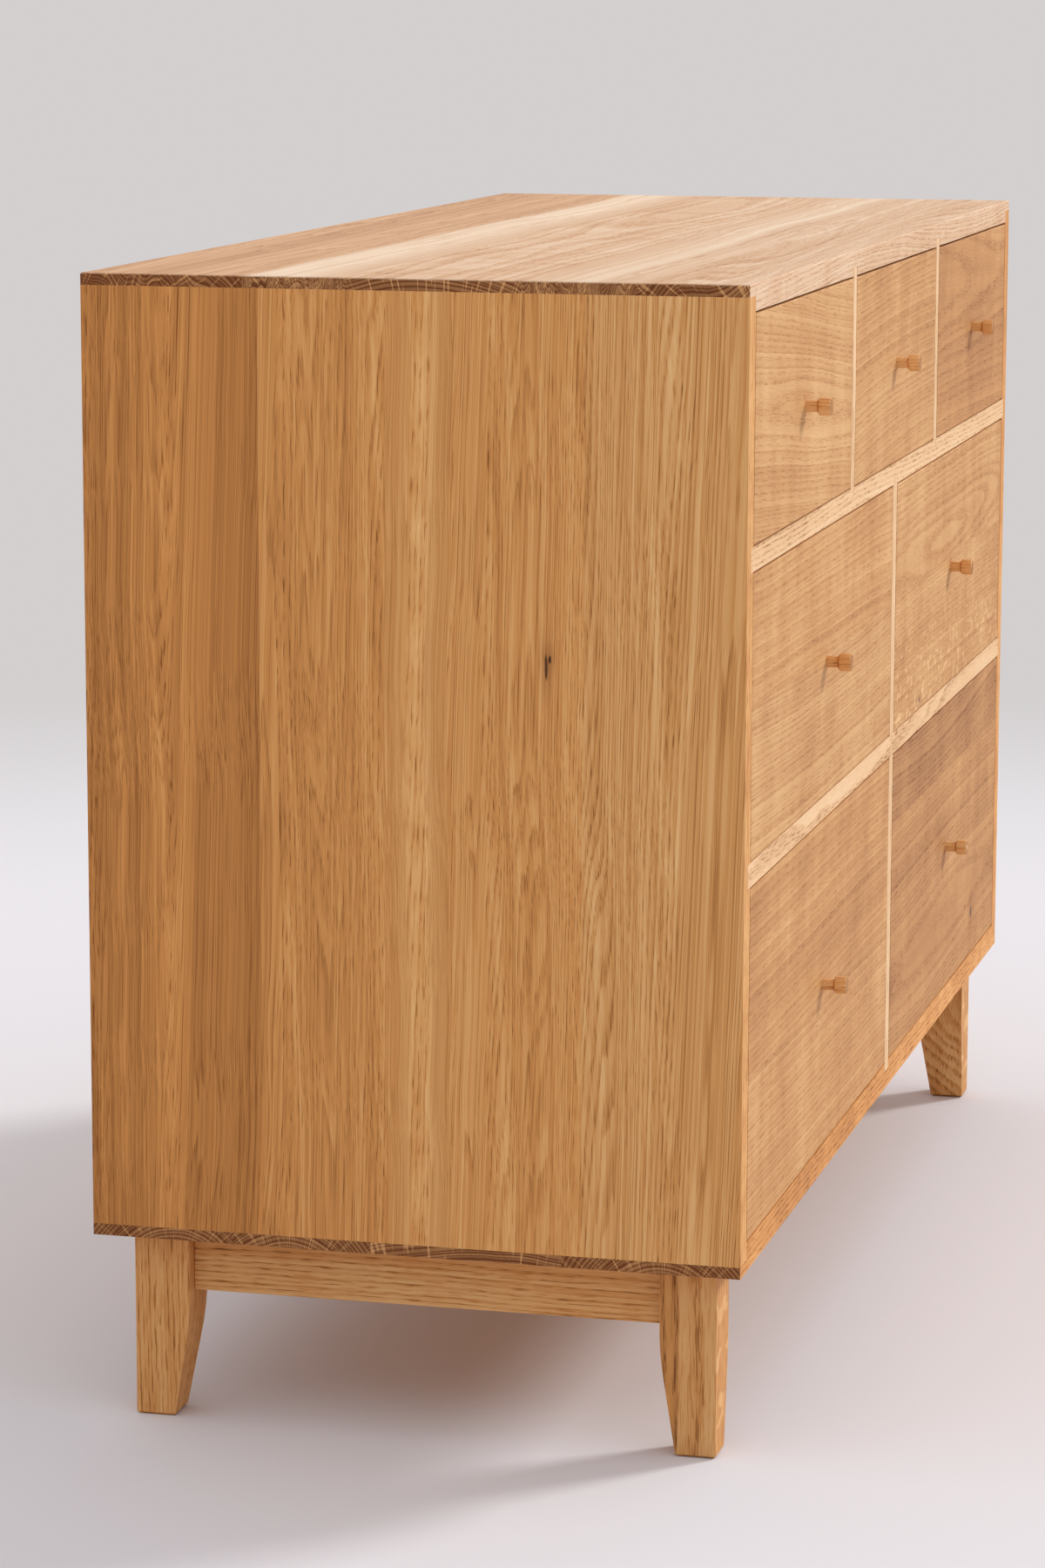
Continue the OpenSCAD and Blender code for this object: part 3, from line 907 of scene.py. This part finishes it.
def front(
    name: str, *staves: Stave, lean: float = 0.0, knots: tuple[Knot, ...] = ()
) -> OakBoard:
    """Sets up the board of a drawer front.

    Args:
        name: Where the drawer is.
        *staves: The strips that the front is glued from.
        lean: How far its grain leans upwards for each metre along it.
        knots: Small knots on its face.

    Returns:
        The board.
    """
    return OakBoard(
        f"{name} front oak",
        FRONT_OAK,
        Cut.FRONT,
        staves=staves,
        knots=knots,
        lean=lean,
        level=FRONT_FACE,
    )


FRONTS = {
    "top_left": front("top left", Stave(0.690, 0.50, 0.50, 0.735, 0.055), lean=0.10),
    "top_centre": front("top centre", Stave(0.690, 0.50, 0.50, 0.98, 0.12), lean=-0.03),
    "top_right": front("top right", Stave(0.690, 0.36, 0.66, 0.84, 0.16), lean=0.04),
    "middle_left": front(
        "middle left",
        Stave(0.450, 0.52, 0.42, 0.41, 0.09),
        Stave(0.572, 0.46, 0.62, 0.76, 0.14),
        lean=0.004,
    ),
    "middle_right": front(
        "middle right",
        Stave(0.450, 0.47, 0.50, 0.70, 0.06),
        Stave(0.575, 0.50, 0.50, 0.60, 0.10),
        knots=(Knot((0.144, FRONT_FACE, 0.468), (0.005, 0.004, 0.003), mixed(120, 74, 48)),),
    ),
    "bottom_left": front(
        "bottom left",
        Stave(0.160, 0.47, 0.50, 0.10, 0.12),
        Stave(0.296, 0.38, 0.60, 0.52, 0.16),
    ),
    "bottom_right": front(
        "bottom right",
        Stave(0.160, 0.34, 0.50, 0.24, 0.08),
        Stave(0.376, 0.27, 0.40, 0.50, 0.10),
        knots=(Knot((0.469, FRONT_FACE, 0.212), (0.006, 0.004, 0.008), mixed(96, 66, 56)),),
    ),
}


@dataclass(frozen=True)
class SteelFinish:
    """Brushed steel of the screws.

    Attributes:
        name: What the finish is called.
        colour: The bare metal.
        worn: The metal where it is rubbed.
        rough: How matt it is.
    """

    name: str = "screw steel"
    colour: Colour = mixed(150, 150, 148)
    worn: Colour = mixed(196, 196, 192)
    rough: float = 0.34

    def build(self) -> Material:
        """Builds the material: fine turned lines with small differences in gloss.

        Returns:
            The material.
        """
        material = bpy.data.materials.new(self.name)
        material.use_nodes = True
        bench = Bench(material.node_tree)
        shader = material.node_tree.nodes["Principled BSDF"]
        place = bench.add("ShaderNodeTexCoord").outputs["Object"]
        brushed = bench.noise(place, (900.0, 900.0, 4200.0), 2.0).outputs[0]
        bench.put(shader.inputs["Base Color"], bench.blend(brushed, self.colour, self.worn))
        shader.inputs["Metallic"].default_value = 1.0
        bench.put(shader.inputs["Roughness"], bench.total(self.rough, (bench.around(brushed), 0.3)))
        return material


@dataclass
class Edges:
    """Softens the sharp edges of a board as sandpaper does.

    Attributes:
        width: Width of the softened edge, in metres.
        steps: Number of faces across it.
        gap: Corners nearer than this are joined first, in metres.
        sharp: Edges that turn by more than this are rounded, in degrees.
    """

    width: float = 0.6 * MM
    steps: int = 2
    gap: float = 0.002 * MM
    sharp: float = 40.0

    def soften(self, board: bpy.types.Object) -> None:
        """Joins the board's loose triangles, then rounds every sharp edge.

        Args:
            board: The board's object.
        """
        weld = board.modifiers.new("joined faces", "WELD")
        weld.merge_threshold = self.gap
        round_over = board.modifiers.new("softened edges", "BEVEL")
        round_over.width = self.width
        round_over.segments = self.steps
        round_over.limit_method = "ANGLE"
        round_over.angle_limit = math.radians(self.sharp)
        round_over.use_clamp_overlap = True
        round_over.miter_outer = "MITER_ARC"
        round_over.harden_normals = False


def dress(node: str, material: Material, edges: Edges | None = None) -> None:
    """Gives a node of the frame its material, and softens its edges.

    Args:
        node: The node's name.
        material: What it is dressed in.
        edges: How its edges are softened, where they are.
    """
    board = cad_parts[node]
    board.data.materials.clear()
    board.data.materials.append(material)
    if edges:
        edges.soften(board)
    LOG.info("dressed %s in %s", node, material.name)


@dataclass
class Case:
    """The case: top, bottom, ends, shelves, uprights, back and drawer stops."""

    edges: Edges = field(default_factory=Edges)
    fine_edges: Edges = field(default_factory=lambda: Edges(0.35 * MM, 2))

    def dress(self, figure: Tree) -> None:
        """Dresses the boards of the case.

        Args:
            figure: The oak's shared figure.
        """
        plan = (
            (TOP_BOARD, self.fine_edges, ("top_panel",)),
            (BOTTOM_BOARD, self.fine_edges, ("bottom_panel",)),
            (LEFT_SIDE, self.edges, ("left_side",)),
            (RIGHT_SIDE, self.edges, ("right_side",)),
            (SHELF, self.fine_edges, ("upper_shelf", "lower_shelf_left", "lower_shelf_right")),
            (
                DIVIDER,
                self.fine_edges,
                ("centre_divider", "upper_divider_left", "upper_divider_right"),
            ),
            (BACK_PANEL, None, ("back_panel",)),
            (STOP, self.fine_edges, ("drawer_stops",)),
        )
        for board, edges, nodes in plan:
            material = board.build(figure)
            for node in nodes:
                dress(node, material, edges)
        dress("back_panel_screws", SteelFinish().build())


@dataclass
class Stand:
    """The stand: four tapered legs and the rail that joins each pair."""

    leg_edges: Edges = field(default_factory=lambda: Edges(1.6 * MM, 3))
    rail_edges: Edges = field(default_factory=lambda: Edges(1.2 * MM, 3))

    def dress(self, figure: Tree) -> None:
        """Dresses the legs, the rails, their dowels and their screws.

        Args:
            figure: The oak's shared figure.
        """
        leg = LEG.build(figure)
        rail = LEG_RAIL.build(figure)
        for side in ("left", "right"):
            dress(f"front_{side}_leg", leg, self.leg_edges)
            dress(f"back_{side}_leg", leg, self.leg_edges)
            dress(f"{side}_leg_rail", rail, self.rail_edges)
        dress("leg_dowels", DOWEL.build(figure))
        dress("leg_rail_screws", SteelFinish(name="rail screw steel").build())


@dataclass
class Knob:
    """A small turned knob: a stem that narrows, a cone and a plain round head.

    The sizes are in metres, measured out from the drawer front.

    Attributes:
        foot: Radius of the stem at the front.
        neck: Radius of the stem where the cone starts.
        head: Radius of the head.
        stem: Length of the stem.
        cone: Length of the cone.
        reach: Whole length outside the front.
        ease: Radius of the head's softened rim.
        sunk: How far the foot goes into the front.
        around: Number of faces round the knob.
        stem_steps: Number of points along the stem.
        curve_steps: Number of points along the cone, and along the rim.
    """

    foot: float = 4.8 * MM
    neck: float = 4.4 * MM
    head: float = 7.0 * MM
    stem: float = 9.0 * MM
    cone: float = 2.0 * MM
    reach: float = 20.0 * MM
    ease: float = 1.0 * MM
    sunk: float = 0.6 * MM
    around: int = 64
    stem_steps: int = 13
    curve_steps: int = 9

    def profile(self) -> np.ndarray:
        """Works out the turned outline.

        The stem dips towards its neck along half a cosine wave, the cone swells along a
        rising half wave, and the head's far rim is a quarter circle.

        Returns:
            Rows of the distance out from the front and the radius there.
        """
        down = np.linspace(0.0, 1.0, self.stem_steps)
        stem_x = down * self.stem
        stem_r = self.foot + (self.neck - self.foot) * (1.0 - np.cos(np.pi * down)) / 2.0
        up = np.linspace(0.0, 1.0, self.curve_steps)[1:]
        cone_x = self.stem + up * self.cone
        cone_r = self.neck + (self.head - self.neck) * (1.0 - np.cos(np.pi * up)) / 2.0
        turn = np.linspace(0.0, np.pi / 2.0, self.curve_steps)
        rim_x = self.reach - self.ease + self.ease * np.sin(turn)
        rim_r = self.head - self.ease + self.ease * np.cos(turn)
        face_r = (self.head - self.ease) * np.array([0.66, 0.33])
        x = np.concatenate([[-self.sunk], stem_x, cone_x, rim_x, np.full(2, self.reach)])
        r = np.concatenate([[self.foot], stem_r, cone_r, rim_r, face_r])
        return np.stack([x, r], axis=1)

    def build(self, name: str, foot: Vector) -> bpy.types.Object:
        """Turns the knob: each point of the profile is carried round the axis of the stem.

        Args:
            name: The piece's name.
            foot: Middle of the knob's foot on the drawer front.

        Returns:
            The knob's object.
        """
        outline = self.profile()
        angle = np.linspace(0.0, 2.0 * np.pi, self.around, endpoint=False)
        rings = len(outline)
        x = foot.x + outline[:, 1, None] * np.cos(angle)[None, :]
        z = foot.z + outline[:, 1, None] * np.sin(angle)[None, :]
        y = foot.y - np.repeat(outline[:, :1], self.around, axis=1)
        points = np.stack([x, y, z], axis=-1).reshape(-1, 3)
        caps = np.array(
            [[foot.x, foot.y - outline[0, 0], foot.z], [foot.x, foot.y - self.reach, foot.z]]
        )
        vertices = np.vstack([points, caps])
        ring, side = np.meshgrid(np.arange(rings - 1), np.arange(self.around), indexing="ij")
        after = (side + 1) % self.around
        first = ring * self.around
        second = first + self.around
        quads = np.stack(
            [first + side, first + after, second + after, second + side], axis=-1
        ).reshape(-1, 4)
        edge = np.arange(self.around)
        turn = (edge + 1) % self.around
        last = (rings - 1) * self.around
        base = np.stack([turn, edge, np.full(self.around, len(points))], axis=-1)
        face = np.stack([last + edge, last + turn, np.full(self.around, len(points) + 1)], axis=-1)
        mesh = bpy.data.meshes.new(name)
        mesh.from_pydata(vertices.tolist(), [], quads.tolist() + base.tolist() + face.tolist())
        mesh.shade_smooth()
        mesh.update()
        knob = bpy.data.objects.new(name, mesh)
        bpy.context.scene.collection.objects.link(knob)
        return knob


@dataclass
class Drawers:
    """The seven drawers: fronts, dovetailed boxes and knobs."""

    knob: Knob = field(default_factory=Knob)
    front_edges: Edges = field(default_factory=lambda: Edges(0.3 * MM, 2))
    box_edges: Edges = field(default_factory=lambda: Edges(0.3 * MM, 1))

    def build(self, figure: Tree) -> None:
        """Turns the knobs and dresses every drawer.

        Args:
            figure: The oak's shared figure.
        """
        sides = BOX_SIDES.build(figure)
        back = BOX_BACK.build(figure)
        bottom = BOX_BOTTOM.build(figure)
        turned = KNOB.build(figure)
        for bay in BAYS:
            drawer = f"{bay}_drawer"
            dress(f"{drawer}_front", FRONTS[bay].build(figure), self.front_edges)
            dress(f"{drawer}_sides", sides)
            dress(f"{drawer}_back", back)
            dress(f"{drawer}_bottom", bottom)
            dress(f"{drawer}_knob", turned)
            self._fit_knob(drawer, turned)

    def _fit_knob(self, drawer: str, turned: Material) -> None:
        """Fits a turned knob where the frame's plain one stands.

        Args:
            drawer: The drawer's body, which names its pieces too.
            turned: What the knob is dressed in.
        """
        low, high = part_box(f"{drawer}_knob")
        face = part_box(f"{drawer}_front")[0].y
        foot = Vector(((low.x + high.x) / 2.0, face, (low.z + high.z) / 2.0))
        knob = self.knob.build(f"{drawer}_turned_knob", foot)
        knob.data.materials.append(turned)
        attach(knob, drawer)
        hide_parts(f"{drawer}_knob")
        LOG.info("turned %s", knob.name)


@dataclass
class Studio:
    """A plain pale floor, soft light and the camera at the photograph's angle.

    Attributes:
        reach: Half the floor's size, in metres.
        cloth: The floor's colour.
        wall: The pale grey of the background, into which the floor fades.
        fade: How far from the dresser the floor starts and ends to fade, in metres.
        sky: Colour of the light from all round.
        sky_low: Its strength at the horizon.
        sky_high: Its strength overhead.
        key_strength: Strength of the soft light from the right of the front.
        key_place: The direction in which it stands.
        key_angle: How wide it looks from the dresser, in degrees.
        key_away: How far off its object is set down, which does not change the light.
        camera_place: Where the camera stands, in metres.
        camera_turn: How it is turned, in degrees.
        lens: Its focal length, in millimetres.
        sensor: The longer side of its sensor, in millimetres.
        clip: The nearest and the furthest that it sees, in metres.
    """

    reach: float = 60.0
    cloth: Colour = mixed(222, 220, 222)
    wall: Colour = mixed(211, 207, 207)
    fade: Pair = (1.5, 3.4)
    sky: Colour = mixed(252, 251, 255)
    sky_low: float = 0.40
    sky_high: float = 1.12
    key_strength: float = 2.0
    key_place: Triple = (0.62, -0.62, 0.47)
    key_angle: float = 13.0
    key_away: float = 4.0
    camera_place: Triple = (-3.96089, -0.91845, 1.11518)
    camera_turn: Triple = (80.0896, -0.1127, -75.7811)
    lens: float = 108.218
    sensor: float = 36.0
    clip: Pair = (0.1, 100.0)

    def lay_floor(self) -> None:
        """Lays the floor, one even sheet that fades into the background far off."""
        side = self.reach
        rim = [(-side, -side, 0.0), (side, -side, 0.0), (side, side, 0.0), (-side, side, 0.0)]
        mesh = bpy.data.meshes.new("floor")
        mesh.from_pydata(rim, [], [(0, 1, 2, 3)])
        floor = bpy.data.objects.new("floor", mesh)
        bpy.context.scene.collection.objects.link(floor)
        material = bpy.data.materials.new("pale floor")
        material.use_nodes = True
        bench = Bench(material.node_tree)
        shader = material.node_tree.nodes["Principled BSDF"]
        shader.inputs["Base Color"].default_value = self.cloth
        shader.inputs["Roughness"].default_value = 0.9
        shader.inputs["Specular IOR Level"].default_value = 0.2
        place = bench.add("ShaderNodeTexCoord").outputs["Object"]
        wall = bench.add("ShaderNodeEmission")
        wall.inputs["Color"].default_value = self.wall
        away = bench.rise(bench.vector("LENGTH", place), *self.fade)
        share = bench.sum("MULTIPLY", away, self._seen(bench))
        both = bench.add("ShaderNodeMixShader")
        for socket, value in zip(both.inputs, (share, shader.outputs[0], wall.outputs[0])):
            bench.put(socket, value)
        bench.put(material.node_tree.nodes["Material Output"].inputs["Surface"], both.outputs[0])
        mesh.materials.append(material)

    @staticmethod
    def _seen(bench: Bench) -> Socket:
        """Gives 1 for what the camera sees, straight or in a reflection or through glass."""
        path = bench.add("ShaderNodeLightPath").outputs
        seen = bench.sum("MAXIMUM", path["Is Camera Ray"], path["Is Glossy Ray"])
        return bench.sum("MAXIMUM", seen, path["Is Transmission Ray"])

    def light(self) -> None:
        """Sets a pale sky, brighter overhead, and one soft light from the right of the front."""
        world = bpy.data.worlds.new("pale room")
        world.use_nodes = True
        bpy.context.scene.world = world
        bench = Bench(world.node_tree)
        sky = world.node_tree.nodes["Background"]
        sky.inputs["Color"].default_value = self.sky
        height = bench.split(bench.add("ShaderNodeTexCoord").outputs["Generated"])[2]
        lift = bench.rise(height, 0.0, 1.0, even=True)
        strength = bench.total(self.sky_low, (lift, self.sky_high - self.sky_low))
        bench.put(sky.inputs["Strength"], strength)
        wall = bench.add("ShaderNodeBackground")
        wall.inputs["Color"].default_value = self.wall
        both = bench.add("ShaderNodeMixShader")
        for socket, value in zip(both.inputs, (self._seen(bench), sky.outputs[0], wall.outputs[0])):
            bench.put(socket, value)
        bench.put(world.node_tree.nodes["World Output"].inputs["Surface"], both.outputs[0])
        lamp = bpy.data.lights.new("key", "SUN")
        lamp.energy = self.key_strength
        lamp.angle = math.radians(self.key_angle)
        key = bpy.data.objects.new("key", lamp)
        bpy.context.scene.collection.objects.link(key)
        key.location = Vector(self.key_place) * self.key_away
        key.rotation_euler = (-Vector(self.key_place)).to_track_quat("-Z", "Y").to_euler()

    def set_camera(self) -> None:
        """Sets the camera where the photograph was taken from."""
        camera = bpy.data.objects.new("camera", bpy.data.cameras.new("camera"))
        camera.data.lens = self.lens
        camera.data.sensor_width = self.sensor
        camera.data.sensor_fit = "AUTO"
        camera.data.clip_start, camera.data.clip_end = self.clip
        camera.location = self.camera_place
        camera.rotation_euler = Euler([math.radians(turn) for turn in self.camera_turn], "XYZ")
        bpy.context.scene.collection.objects.link(camera)
        bpy.context.scene.camera = camera

    def build(self) -> None:
        """Builds the whole studio."""
        self.lay_floor()
        self.light()
        self.set_camera()
        bpy.context.scene.view_settings.view_transform = "Standard"
        LOG.info("studio ready")


def main() -> None:
    """Builds the dresser's looks in order."""
    logging.basicConfig(level=logging.INFO, format="%(name)s: %(message)s")
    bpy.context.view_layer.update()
    figure = Figure().build()
    Studio().build()
    Case().dress(figure)
    Stand().dress(figure)
    Drawers().build(figure)
    LOG.info("dresser ready")


if __name__ == "__main__":
    main()
